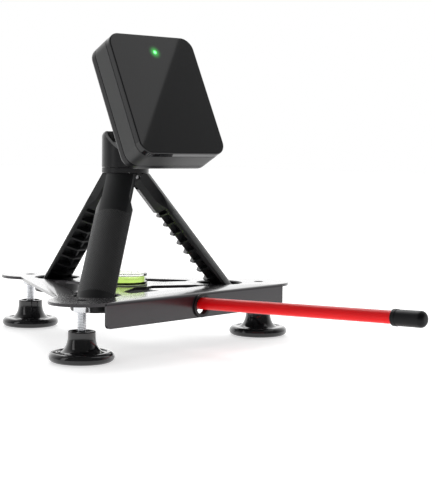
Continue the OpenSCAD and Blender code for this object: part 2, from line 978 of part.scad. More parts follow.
// The boards stand between the lower and the upper screw bosses
board_w = box_w - 2 * box_wall - 13;
board_low = box_corner + boss_outer_r + 0.5;
board_high = box_h - box_corner - boss_outer_r - 0.5;
module board(y) {
    translate([-board_w / 2, y, board_low]) cube([board_w, board_t, board_high - board_low]);
}
module antenna_board() {
    patch = 7;
    tongue_w = 16;
    color("darkgreen")
    on_stem() {
        board(antenna_y);
        translate([-tongue_w / 2, antenna_y, board_high - eps]) cube([tongue_w, board_t, led_z + 4 - board_high]);
        for (column = [-1.5 : 1.5]) {
            for (line = [0 : 3]) {
                translate([column * 11 - patch / 2, antenna_y - 0.3, 20 + line * 12])
                cube([patch, 0.3 + eps, patch]);
            }
        }
    }
}

module antenna_shield() {
    color("silver")
    on_stem()
    difference() {
        translate([-19, antenna_y + board_t, 40]) cube([38, 2.6, 34]);
        translate([-18.4, antenna_y + board_t - 1, 40.6]) cube([36.8, 3, 32.8]);
    }
}

main_y = antenna_y + board_t + 3.2;
module main_board() {
    color("darkgreen")
    on_stem()
    difference() {
        board(main_y);
        translate([port_inner_x - 0.1, main_y - 1, port_z - port_l / 2 - 0.1])
        cube([big, board_t + 2, port_l + 0.2]);
    }
}

// The battery stands on the insert's boss
battery_gap = 0.4;
module battery() {
    start_y = main_y + board_t + battery_gap;
    color("steelblue")
    on_stem()
    translate([-22, start_y, mount_h + insert_boss_r + battery_gap])
    cube([44, box_t - box_wall - battery_gap - start_y, 34]);
}

module power_button() {
    color([0.06, 0.06, 0.06])
    on_stem() {
        stadium(box_w / 2 - 1.5, box_w / 2 + 0.5, button_z, button_l, button_w);
        stadium(box_w / 2 - 2.4, box_w / 2 - 1.4, button_z, button_l * 0.5, button_w * 0.8);
    }
}

module button_switch() {
    reach = box_w / 2 - 2.4 - button_travel - 0.05;
    color("black")
    on_stem()
    translate([board_w / 2, side_y - 2, button_z - 3]) cube([reach - board_w / 2, 4, 6]);
}

module charging_port() {
    depth = 6;
    color("silver")
    on_stem()
    difference() {
        stadium(port_inner_x, port_outer_x, port_z, port_l, 3.2);
        stadium(port_outer_x - depth, box_w / 2, port_z, port_l - 0.7, 2.5);
    }
}

module port_flap() {
    color([0.09, 0.09, 0.09])
    on_stem()
    difference() {
        union() {
            translate([flap_hinge_x, flap_hinge_y, port_z - flap_l / 2]) cylinder(r = flap_hinge_r, h = flap_l);
            translate([flap_hinge_x - flap_hinge_r, flap_hinge_y, port_z - flap_l / 2])
            cube([flap_t, flap_w - flap_hinge_r, flap_l]);
        }
        translate([box_w / 2 - 0.4, flap_hinge_y + flap_w - flap_hinge_r - 1.4, port_z - 3]) cube([1, 3, 6]);
    }
}

base_plate();
press_nuts();
cup_front_left();
cup_front_right();
cup_back();
rod_grommet();
rod_guide();
level_backing();
level_vial();
level_liquid();
pad_front_left();
pad_front_right();
pad_back();
knob_front_left();
knob_front_right();
knob_back();
stud_front_left();
stud_front_right();
stud_back();
alignment_rod();
rod_cap();
leg_yoke();
hinge_pins();
pan_washer();
pan_screw();
leg_front_left();
leg_front_right();
leg_back();
leg_pad_front_left();
leg_pad_front_right();
leg_pad_back();
head_shell();
ball_seat();
ball_collar();
ball_stem();
thumb_wheel();
mount_pad();
front_cover();
front_gasket();
mid_band();
back_gasket();
back_cover();
light_pipe();
led();
antenna_board();
antenna_shield();
main_board();
battery();
thread_insert();
case_screws();
button_switch();
power_button();
charging_port();
port_flap();
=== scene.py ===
"""Looks for a golf launch monitor on a folding mini tripod and a three-footed levelling base."""

import json
import math

import bmesh
import bpy
from bpy.props import FloatProperty, FloatVectorProperty, PointerProperty
from mathutils import Matrix, Vector

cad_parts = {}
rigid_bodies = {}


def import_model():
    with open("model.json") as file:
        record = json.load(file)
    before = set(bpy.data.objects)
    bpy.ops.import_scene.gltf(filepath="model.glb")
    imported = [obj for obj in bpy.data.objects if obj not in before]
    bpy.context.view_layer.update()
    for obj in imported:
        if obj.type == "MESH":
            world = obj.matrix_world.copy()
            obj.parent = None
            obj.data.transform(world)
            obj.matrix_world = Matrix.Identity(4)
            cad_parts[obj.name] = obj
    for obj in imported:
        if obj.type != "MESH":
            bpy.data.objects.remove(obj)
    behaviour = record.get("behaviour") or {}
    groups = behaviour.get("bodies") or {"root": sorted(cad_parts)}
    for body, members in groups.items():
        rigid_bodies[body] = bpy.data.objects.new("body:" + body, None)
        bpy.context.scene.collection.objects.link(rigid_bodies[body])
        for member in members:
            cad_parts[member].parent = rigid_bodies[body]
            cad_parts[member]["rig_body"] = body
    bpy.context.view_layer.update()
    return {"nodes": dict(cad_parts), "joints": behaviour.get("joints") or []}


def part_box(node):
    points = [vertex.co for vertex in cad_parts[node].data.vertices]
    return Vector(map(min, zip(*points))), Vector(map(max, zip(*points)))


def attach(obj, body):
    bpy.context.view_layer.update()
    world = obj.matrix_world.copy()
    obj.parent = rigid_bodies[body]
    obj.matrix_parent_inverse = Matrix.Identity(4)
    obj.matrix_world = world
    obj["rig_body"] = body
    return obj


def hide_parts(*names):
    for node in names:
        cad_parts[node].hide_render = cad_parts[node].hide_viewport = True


bl_info = {
    "name": "Launch monitor looks",
    "version": (1, 0, 0),
    "blender": (4, 5, 0),
    "location": "3D View > Sidebar > Launch monitor",
    "description": "Builds the finished pieces and materials round the packed frame",
    "category": "Object",
}

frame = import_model()
NODES = frame["nodes"]
JOINTS = {joint["name"]: joint for joint in frame["joints"]}

MM = 0.001
UP = Vector((0, 0, 1))
ARMS = {"front_left": 210, "front_right": 330, "back": 90}


def middle(node):
    low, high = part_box(node)
    return (low + high) / 2


def size_of(node):
    low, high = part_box(node)
    return high - low


# The radar box's own axes: X is its width, Y runs from its front to its back, Z is its height
BALL = Vector(JOINTS["head_tilt"]["pos_m"])
BOX_X = Vector(JOINTS["head_tilt"]["axis"]).normalized()
BOX_Y = Vector(JOINTS["thumb_wheel_turn"]["axis"]).normalized()
BOX_Z = BOX_X.cross(BOX_Y)
BOX_TURN = Matrix((BOX_X, BOX_Y, BOX_Z)).transposed()
BOX_FRAME = Matrix.Translation(BALL) @ BOX_TURN.to_4x4()
HUB = Vector((middle("level_vial").x, middle("level_vial").y, 0))
HANDLE_R = size_of("head_shell").x / 2


def leg_frame(arm):
    """A leg's own axes, with the origin on its hinge: X outward, Z up along the leg."""
    joint = JOINTS[f"leg_{arm}_fold"]
    spread = math.radians(joint["range_deg"][1])
    side = Vector(joint["axis"]).normalized()
    outward = side.cross(UP)
    swing = Matrix.Rotation(-spread, 3, side)
    turned = Matrix((swing @ outward, side, swing @ UP)).transposed()
    return Matrix.Translation(Vector(joint["pos_m"])) @ turned.to_4x4()


def own_box(node, axes):
    """A node's lowest and highest corners in some other axes."""
    back = axes.inverted()
    points = [back @ v.co for v in NODES[node].data.vertices]
    low = Vector([min(p[i] for p in points) for i in range(3)])
    high = Vector([max(p[i] for p in points) for i in range(3)])
    return low, high


# The alignment rod: Y runs along it towards the plate
ROD_INWARD = -Vector(JOINTS["rod_pull_out"]["axis"])
ROD_TURN = Matrix((Vector((1, 0, 0)), ROD_INWARD, Vector((1, 0, 0)).cross(ROD_INWARD))).transposed()
ROD_FRAME = Matrix.Translation(middle("alignment_rod")) @ ROD_TURN.to_4x4()


# ---------- shader maths ----------


class Wire:
    """A node's output that takes part in Python arithmetic."""

    def __init__(self, maker, socket):
        self.maker = maker
        self.socket = socket

    def math(self, operation, *values, clamp=False):
        settings = {"operation": operation, "use_clamp": clamp}
        return self.maker.add("ShaderNodeMath", settings, dict(enumerate(values)))

    def __add__(self, other):
        return self.math("ADD", self, other)

    __radd__ = __add__

    def __sub__(self, other):
        return self.math("SUBTRACT", self, other)

    def __rsub__(self, other):
        return self.math("SUBTRACT", other, self)

    def __mul__(self, other):
        return self.math("MULTIPLY", self, other)

    __rmul__ = __mul__

    def __truediv__(self, other):
        return self.math("DIVIDE", self, other)

    def __pow__(self, other):
        return self.math("POWER", self, other)

    def __abs__(self):
        return self.math("ABSOLUTE", self)

    def sine(self):
        return self.math("SINE", self)

    def angle_from(self, other):
        return self.math("ARCTAN2", self, other)

    def ramp(self, low, high):
        """0 at low, 1 at high, smooth between."""
        share = self.math("DIVIDE", self - low, high - low, clamp=True)
        return share * share * (3 - 2 * share)

    def between(self, low, high, soft):
        """1 from low to high, fading to 0 outside."""
        return self.ramp(low - soft, low + soft) * (1 - self.ramp(high - soft, high + soft))


class Maker:
    """Makes one material and its nodes."""

    def __init__(self, name):
        self.material = bpy.data.materials.new(name)
        self.material.use_nodes = True
        self.tree = self.material.node_tree
        self.shader = self.tree.nodes["Principled BSDF"]

    def feed(self, target, value):
        if isinstance(value, Wire):
            self.tree.links.new(value.socket, target)
        elif target.type == "RGBA" and len(value) == 3:
            target.default_value = (*value, 1.0)
        else:
            target.default_value = value

    def add(self, kind, settings=None, sockets=None, output=0):
        node = self.tree.nodes.new(kind)
        for name, value in (settings or {}).items():
            setattr(node, name, value)
        for key, value in (sockets or {}).items():
            self.feed(node.inputs[key], value)
        return Wire(self, node.outputs[output])

    def set(self, **values):
        """Feeds the shader's sockets, with _ for a space in a socket's name."""
        for name, value in values.items():
            self.feed(self.shader.inputs[name.replace("_", " ")], value)
        return self

    def place(self, axes=None, scale=(1, 1, 1)):
        """Object coordinates, seen in other axes and scaled."""
        coordinates = self.add("ShaderNodeTexCoord", output=3)
        axes = axes or Matrix.Identity(4)
        turned = self.add(
            "ShaderNodeMapping",
            {"vector_type": "TEXTURE"},
            {"Vector": coordinates, "Location": axes.to_translation(), "Rotation": axes.to_euler()},
        )
        return self.add("ShaderNodeMapping", None, {"Vector": turned, "Scale": scale})

    def split(self, vector):
        node = self.add("ShaderNodeSeparateXYZ", None, {"Vector": vector}).socket.node
        return [Wire(self, output) for output in node.outputs]

    def noise(self, scale, detail=3.0, roughness=0.55, vector=None):
        vector = vector or self.place()
        sockets = {"Vector": vector, "Scale": scale, "Detail": detail, "Roughness": roughness}
        return self.add("ShaderNodeTexNoise", None, sockets)

    def mix(self, share, first, second):
        sockets = {0: share, 6: first, 7: second}
        return self.add("ShaderNodeMix", {"data_type": "RGBA"}, sockets, output=2)

    def bump(self, height, strength, distance, over=None):
        sockets = {"Height": height, "Strength": strength, "Distance": distance}
        if over:
            sockets["Normal"] = over
        return self.add("ShaderNodeBump", None, sockets)


def shade(colour, factor):
    return tuple(min(1.0, c * factor) for c in colour)


def moulded(name, colour, roughness, grain=0.35, grain_size=0.45 * MM, spread=0.12, axes=None, shine=0.35):
    """Moulded plastic or rubber: a fine spark texture, slow cloudiness and a little dust."""
    m = Maker(name)
    where = m.place(axes)
    cloud = m.noise(55, 4, 0.6, where)
    speck = m.noise(1 / grain_size, 2, 0.5, where)
    tone = m.mix(cloud.ramp(0.3, 0.7), shade(colour, 1 - spread), shade(colour, 1 + spread))
    gloss = roughness * (0.9 + 0.2 * cloud) + 0.05 * (speck - 0.5)
    m.set(Base_Color=tone, Roughness=gloss, Normal=m.bump(speck, grain, 0.03 * MM))
    m.set(Specular_IOR_Level=shine)
    return m


def metal(name, colour, roughness, scratch=(1, 1, 30), axes=None):
    """Turned or drawn metal with fine marks that run one way."""
    m = Maker(name)
    where = m.place(axes, scratch)
    marks = m.noise(420, 3, 0.6, where)
    cloud = m.noise(70)
    tone = m.mix(cloud, shade(colour, 0.86), shade(colour, 1.08))
    gloss = roughness * (0.75 + 0.5 * marks)
    m.set(Base_Color=tone, Metallic=1.0, Roughness=gloss, Normal=m.bump(marks, 0.15, 0.02 * MM))
    return m


# ---------- mesh tools ----------


def rounded(corners, closed=False, steps=6):
    """The outline through (x, y, radius) corners, each rounded by its own radius."""
    line = []
    for i, (x, y, radius) in enumerate(corners):
        here = Vector((x, y))
        if radius <= 0 or (not closed and i in (0, len(corners) - 1)):
            line.append(here)
            continue
        before = (Vector(corners[i - 1][:2]) - here).normalized()
        after = (Vector(corners[(i + 1) % len(corners)][:2]) - here).normalized()
        half = before.angle(after) / 2
        centre = here + (before + after).normalized() * radius / math.sin(half)
        start = here + before * radius / math.tan(half) - centre
        end = here + after * radius / math.tan(half) - centre
        arc = start.angle(end)
        for k in range(steps + 1):
            t = k / steps
            point = start * math.sin((1 - t) * arc) + end * math.sin(t * arc)
            line.append(centre + point / math.sin(arc))
    return line


def lathe(outline, at, axis=UP, steps=72, closed=False):
    """Spins an outline of (radius, height) points round an axis through a point."""
    bm = bmesh.new()
    axis = Vector(axis).normalized()
    side = axis.orthogonal().normalized()
    verts = [bm.verts.new(at + side * r + axis * z) for r, z in outline]
    pairs = list(zip(verts, verts[1:]))
    if closed:
        pairs.append((verts[-1], verts[0]))
    edges = [bm.edges.new(pair) for pair in pairs]
    full = 2 * math.pi
    bmesh.ops.spin(bm, geom=verts + edges, cent=at, axis=axis, angle=full, steps=steps, use_merge=True)
    tidy(bm)
    return bm


def tidy(bm, distance=1e-6):
    bmesh.ops.remove_doubles(bm, verts=bm.verts, dist=distance)
    bmesh.ops.recalc_face_normals(bm, faces=bm.faces)


def merged_copy(node):
    """A node's mesh with its doubles merged and its flat faces joined up."""
    bm = bmesh.new()
    bm.from_mesh(NODES[node].data)
    bmesh.ops.remove_doubles(bm, verts=bm.verts, dist=2e-6)
    flat = math.radians(0.6)
    bmesh.ops.dissolve_limit(bm, angle_limit=flat, verts=bm.verts, edges=bm.edges)
    return bm


def slab(outline, y0, y1, axes=BOX_FRAME):
    """An outline in X and Z, pushed from y0 to y1, placed by its axes."""
    bm = bmesh.new()
    face = bm.faces.new([bm.verts.new((x, y0, z)) for x, z in outline])
    pushed = bmesh.ops.extrude_face_region(bm, geom=[face])["geom"]
    verts = [v for v in pushed if isinstance(v, bmesh.types.BMVert)]
    bmesh.ops.translate(bm, vec=(0, y1 - y0, 0), verts=verts)
    bm.transform(axes)
    tidy(bm)
    return bm


def box_outline(low, high, corner, inset=0.0, steps=14):
    """A rounded rectangle in X and Z."""
    x0, x1, z0, z1 = low.x + inset, high.x - inset, low.z + inset, high.z - inset
    radius = corner - inset
    return rounded([(x0, z0, radius), (x1, z0, radius), (x1, z1, radius), (x0, z1, radius)], True, steps)


def round_rim(bm, depth, axes, width, segments=5):
    """Rounds the rim of the flat face that lies at one depth in the box's axes."""
    back = axes.inverted()
    rim = [e for e in bm.edges if all(abs((back @ v.co).y - depth) < 1e-5 for v in e.verts)]
    bmesh.ops.bevel(
        bm, geom=rim, offset=width, segments=segments, profile=0.5, affect="EDGES", material=-1
    )


def carve(bm, *cutters):
    """The mesh less each cutter."""
    objects = []
    for mesh_source in (bm, *cutters):
        mesh = bpy.data.meshes.new("carving")
        mesh_source.to_mesh(mesh)
        mesh_source.free()
        obj = bpy.data.objects.new("carving", mesh)
        bpy.context.scene.collection.objects.link(obj)
        objects.append(obj)
    blank = objects[0]
    for cutter in objects[1:]:
        cut = blank.modifiers.new("cut", "BOOLEAN")
        cut.operation = "DIFFERENCE"
        cut.solver = "EXACT"
        cut.object = cutter
    result = bmesh.new()
    result.from_object(blank, bpy.context.evaluated_depsgraph_get())
    for obj in objects:
        bpy.data.objects.remove(obj)
    return result


def drill(at, axis, radius, length, steps=40):
    """A plain cylinder, to cut a hole with."""
    return lathe([(0, 0), (radius, 0), (radius, length), (0, length)], at, axis, steps)


def piece(bm, name, material, *nodes, on=None, sharp=32.0, level=True):
    """Makes the mesh an object that stands for its CAD nodes, or rides with one."""
    mesh = bpy.data.meshes.new(name)
    bm.to_mesh(mesh)
    bm.free()
    mesh.shade_smooth()
    mesh.set_sharp_from_angle(angle=math.radians(sharp))
    mesh.materials.append(material.material)
    obj = bpy.data.objects.new(name, mesh)
    bpy.context.scene.collection.objects.link(obj)
    if level:
        flats = obj.modifiers.new("flats", "WEIGHTED_NORMAL")
        flats.keep_sharp = True
        flats.weight = 80
    carrier = nodes[0] if nodes else on
    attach(obj, NODES[carrier]["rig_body"])
    if nodes:
        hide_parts(*nodes)
    return obj


def soften(obj, width, segments=2, angle=35.0):
    """Rounds an object's edges and keeps its flats flat."""
    bevel = obj.modifiers.new("edges", "BEVEL")
    bevel.width = width
    bevel.segments = segments
    bevel.limit_method = "ANGLE"
    bevel.angle_limit = math.radians(angle)
    bevel.harden_normals = True
    bevel.miter_outer = "MITER_ARC"
    return obj


def eased(node, name, material, width, segments=2, angle=35.0):
    """A copy of a CAD node with rounded edges, which stands for it."""
    return soften(piece(merged_copy(node), name, material, node, level=False), width, segments, angle)


def repaint(node, material):
    data = NODES[node].data
    data.materials.clear()
    data.materials.append(material.material)


# ---------- sizes and colours that a user would change ----------


def colour_prop(name, description, default):
    return FloatVectorProperty(
        name=name, description=description, subtype="COLOR", size=3, min=0, max=1, default=default
    )


def length_prop(name, description, default):
    return FloatProperty(
        name=name, description=description, default=default * MM, unit="LENGTH", min=0, precision=5
    )


class BaseLooks(bpy.types.PropertyGroup):
    plate_colour: colour_prop("Plate colour", "Gunmetal paint on the plate", (0.024, 0.021, 0.025))
    plate_edge: length_prop("Plate edge", "Rounding of the sheet's edges", 0.3)
    cup_colour: colour_prop("Cup colour", "Plastic of the cups under the legs", (0.012, 0.012, 0.013))
    liquid_colour: colour_prop("Liquid colour", "Spirit in the bubble level", (0.76, 0.94, 0.34))
    zinc_colour: colour_prop("Zinc colour", "Plating of the studs and nuts", (0.74, 0.75, 0.77))


class FootLooks(bpy.types.PropertyGroup):
    knob_colour: colour_prop("Knob colour", "Polished plastic of the foot knobs", (0.010, 0.010, 0.011))
    rim_groove: length_prop("Rim groove", "Depth of the groove inside a knob's rim", 0.5)
    thread_pitch: length_prop("Thread pitch", "Pitch of the levelling studs", 1.0)


class RodLooks(bpy.types.PropertyGroup):
    rod_colour: colour_prop("Rod colour", "Gloss paint of the alignment rod", (0.95, 0.004, 0.008))
    cap_colour: colour_prop("Cap colour", "Rubber of the rod's cap", (0.005, 0.005, 0.006))


class TripodLooks(bpy.types.PropertyGroup):
    leg_colour: colour_prop("Leg colour", "Plastic of the legs", (0.012, 0.0125, 0.0135))
    head_colour: colour_prop("Head colour", "Plastic of the head and yoke", (0.007, 0.007, 0.008))
    knurl_pitch: length_prop("Knurl pitch", "Spacing of the diamond knurl on the grip", 1.3)
    leg_edge: length_prop("Leg edge", "Rounding of the legs' edges", 0.3)


class RadarLooks(bpy.types.PropertyGroup):
    front_colour: colour_prop("Front colour", "Gloss plastic of the front cover", (0.010, 0.0103, 0.011))
    band_colour: colour_prop("Band colour", "Soft coating of the middle band", (0.034, 0.035, 0.035))
    back_colour: colour_prop("Back colour", "Plastic of the back cover", (0.009, 0.009, 0.010))
    front_edge: length_prop("Front edge", "Rounding of the front cover's face", 0.9)
    back_edge: length_prop("Back edge", "Rounding of the back cover's face", 3.2)
    corner: length_prop("Corner", "Corner radius of the box seen from the front", 9.0)
    glow_colour: colour_prop("Glow colour", "Light that shines through the front", (0.10, 1.0, 0.16))
    glow_strength: FloatProperty(name="Glow strength", description="Brightness of the light", default=5.0)


class StageLooks(bpy.types.PropertyGroup):
    azimuth: FloatProperty(name="Azimuth", description="Camera's turn, degrees", default=-48.72)
    elevation: FloatProperty(name="Elevation", description="Camera's height angle, degrees", default=4.33)
    roll: FloatProperty(name="Roll", description="Camera's roll, degrees", default=0.72)
    distance: FloatProperty(name="Distance", description="Camera's distance", default=0.9878, unit="LENGTH")
    aim: FloatVectorProperty(
        name="Aim", description="Point that the camera looks at, from the hub", default=(0.0981, 0.0, 0.0601)
    )
    lens: FloatProperty(name="Lens", description="Focal length, mm", default=95.24)
    floor_colour: colour_prop("Floor colour", "Pale studio floor", (0.86, 0.86, 0.86))


LOOKS = {
    "base": BaseLooks,
    "feet": FootLooks,
    "rod": RodLooks,
    "tripod": TripodLooks,
    "radar": RadarLooks,
    "stage": StageLooks,
}


def looks(group):
    return getattr(bpy.context.scene, f"launch_monitor_{group}")


# ---------- the levelling base ----------


class MONITOR_OT_base_plate(bpy.types.Operator):
    """The folded sheet with its satin gunmetal paint"""

    bl_idname = "launch_monitor.base_plate"
    bl_label = "Base plate"

    def execute(self, context):
        settings = looks("base")
        eased("base_plate", "painted_plate", self.paint(tuple(settings.plate_colour)), settings.plate_edge, 3)
        return {"FINISHED"}

    def paint(self, colour):
        m = Maker("gunmetal_paint")
        cloud = m.noise(26, 4, 0.6)
        orange_peel = m.noise(900, 2, 0.5)
        flake = m.noise(5200, 1, 0.5)
        tone = m.mix(cloud.ramp(0.35, 0.65), shade(colour, 0.93), shade(colour, 1.07))
        tone = m.mix(flake.ramp(0.62, 0.8) * 0.5, tone, shade(colour, 2.2))
        gloss = 0.30 + 0.06 * cloud + 0.06 * (orange_peel - 0.5)
        normal = m.bump(orange_peel, 0.25, 0.02 * MM)
        m.set(Base_Color=tone, Metallic=0.35, Roughness=gloss, Normal=normal)
        m.set(Specular_IOR_Level=0.3, Coat_Weight=1.0, Coat_Roughness=0.15, Coat_IOR=1.4)
        return m


class MONITOR_OT_cups(bpy.types.Operator):
    """The three cups that hold the tripod's feet"""

    bl_idname = "launch_monitor.cups"
    bl_label = "Cups"

    def execute(self, context):
        plastic = moulded("cup_plastic", tuple(looks("base").cup_colour), 0.34, 0.3)
        for arm in ARMS:
            self.cup(arm, plastic)
        return {"FINISHED"}

    def cup(self, arm, plastic):
        node = f"cup_{arm}"
        low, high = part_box(node)
        plate_low, plate_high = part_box("base_plate")
        lip_top = plate_high.z - 2 * MM
        lip_t = 1.5 * MM
        lip_r = (high.x - low.x) / 2
        wall_r = lip_r - 2.2 * MM
        bore_r = wall_r - 1.5 * MM
        floor_z = low.z + 1.5 * MM
        edge = 0.35 * MM
        outline = rounded(
            [
                (0, low.z, 0),
                (wall_r, low.z, 1.4 * MM),
                (wall_r, lip_top - lip_t, 0),
                (lip_r, lip_top - lip_t, edge),
                (lip_r, lip_top, 0),
                (wall_r, lip_top, 0),
                (wall_r, high.z, edge),
                (bore_r, high.z, edge),
                (bore_r, floor_z, 1.0 * MM),
                (0, floor_z, 0),
            ],
            steps=4,
        )
        centre = Vector((middle(node).x, middle(node).y, 0))
        piece(lathe(outline, centre), f"moulded_{node}", plastic, node)


class MONITOR_OT_nuts(bpy.types.Operator):
    """Zinc plated press nuts under the plate"""

    bl_idname = "launch_monitor.nuts"
    bl_label = "Press nuts"

    def execute(self, context):
        zinc = metal("zinc_plate", tuple(looks("base").zinc_colour), 0.24)
        eased("press_nuts", "plated_nuts", zinc, 0.25 * MM)
        return {"FINISHED"}


class MONITOR_OT_level(bpy.types.Operator):
    """The bubble level: clear vial, green spirit, bubble, printed ring and white backing"""

    bl_idname = "launch_monitor.level"
    bl_label = "Bubble level"

    def execute(self, context):
        low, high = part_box("level_vial")
        radius = (high.x - low.x) / 2
        centre = Vector((HUB.x, HUB.y, 0))
        edge = 0.7 * MM
        outline = rounded([(0, low.z, 0), (radius, low.z, 0.2 * MM), (radius, high.z, edge), (0, high.z, 0)])
        in_low, in_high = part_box("level_liquid")
        inner_r = (in_high.x - in_low.x) / 2
        vial = lathe(outline, centre, steps=96)
        hollow = lathe(
            rounded(
                [
                    (0, in_low.z, 0),
                    (inner_r, in_low.z, 0.4 * MM),
                    (inner_r, in_high.z, 0.4 * MM),
                    (0, in_high.z, 0),
                ]
            ),
            centre,
            steps=96,
        )
        piece(carve(vial, hollow), "clear_vial", self.acrylic(), "level_vial")
        self.spirit(centre, in_low, in_high, inner_r)
        self.rings(centre, in_high.z, radius)
        card = Maker("white_card")
        fibre = card.noise(1400, 2)
        card.set(Base_Color=card.mix(fibre, (0.80, 0.82, 0.78), (0.88, 0.90, 0.86)))
        card.set(Roughness=0.45 + 0.1 * fibre)
        eased("level_backing", "white_backing", card, 0.15 * MM)
        return {"FINISHED"}

    def acrylic(self):
        m = Maker("clear_acrylic")
        haze = m.noise(300, 3)
        m.set(Base_Color=m.mix(haze, (0.95, 0.98, 0.92), (0.98, 1.0, 0.95)), Roughness=0.02 + 0.05 * haze)
        m.set(Transmission_Weight=1.0, IOR=1.49)
        return m

    def spirit(self, centre, low, high, radius):
        gap = 0.03 * MM
        bubble_r, bubble_h = 4.2 * MM, 1.3 * MM
        inner = radius - gap
        body = lathe(
            rounded(
                [
                    (0, low.z, 0),
                    (inner, low.z, 0.4 * MM),
                    (inner, high.z - gap, 0.4 * MM),
                    (0, high.z - gap, 0),
                ]
            ),
            centre,
            steps=96,
        )
        bubble = lathe(
            rounded(
                [
                    (0, high.z - bubble_h, 0),
                    (bubble_r, high.z - bubble_h, 1.1 * MM),
                    (bubble_r, high.z + gap, 0),
                    (0, high.z + gap, 0),
                ]
            ),
            centre,
            steps=48,
        )
        m = Maker("green_spirit_painted_glow")
        colour = tuple(looks("base").liquid_colour)
        swirl = m.noise(120, 2)
        m.set(Base_Color=m.mix(swirl, shade(colour, 0.97), shade(colour, 1.03)))
        m.set(Roughness=0.03 + 0.02 * swirl)
        # Painted glow: the spirit is no lamp, and a faint emission in its own colour makes it read lighter
        m.set(Transmission_Weight=0.6, IOR=1.36, Emission_Color=colour, Emission_Strength=0.3)
        piece(carve(body, bubble), "green_liquid", m, "level_liquid")

    def rings(self, centre, height, radius):
        ink = Maker("ring_ink")
        fade = ink.noise(900, 2)
        ink.set(Base_Color=ink.mix(fade, (0.012, 0.012, 0.012), (0.03, 0.03, 0.03)))
        ink.set(Roughness=0.4 + 0.2 * fade)
        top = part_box("level_vial")[1].z
        thick, line = 0.03 * MM, 0.35 * MM
        for name, inner in (("inner_ring", 5.2 * MM), ("outer_ring", 9.5 * MM)):
            band = [(inner, top), (inner + line, top), (inner + line, top + thick), (inner, top + thick)]
            piece(lathe(band, centre, steps=72, closed=True), name, ink, on="level_vial")


class MONITOR_OT_rod_fittings(bpy.types.Operator):
    """The rubber grommet in the flange and the guide tube under the plate"""

    bl_idname = "launch_monitor.rod_fittings"
    bl_label = "Rod fittings"

    def execute(self, context):
        rubber = moulded("grommet_rubber", (0.008, 0.008, 0.009), 0.42, 0.3)
        eased("rod_grommet", "rubber_grommet", rubber, 0.45 * MM, 3)
        tube = moulded("guide_plastic", (0.012, 0.012, 0.013), 0.26, 0.2)
        eased("rod_guide", "guide_tube", tube, 0.25 * MM)
        return {"FINISHED"}


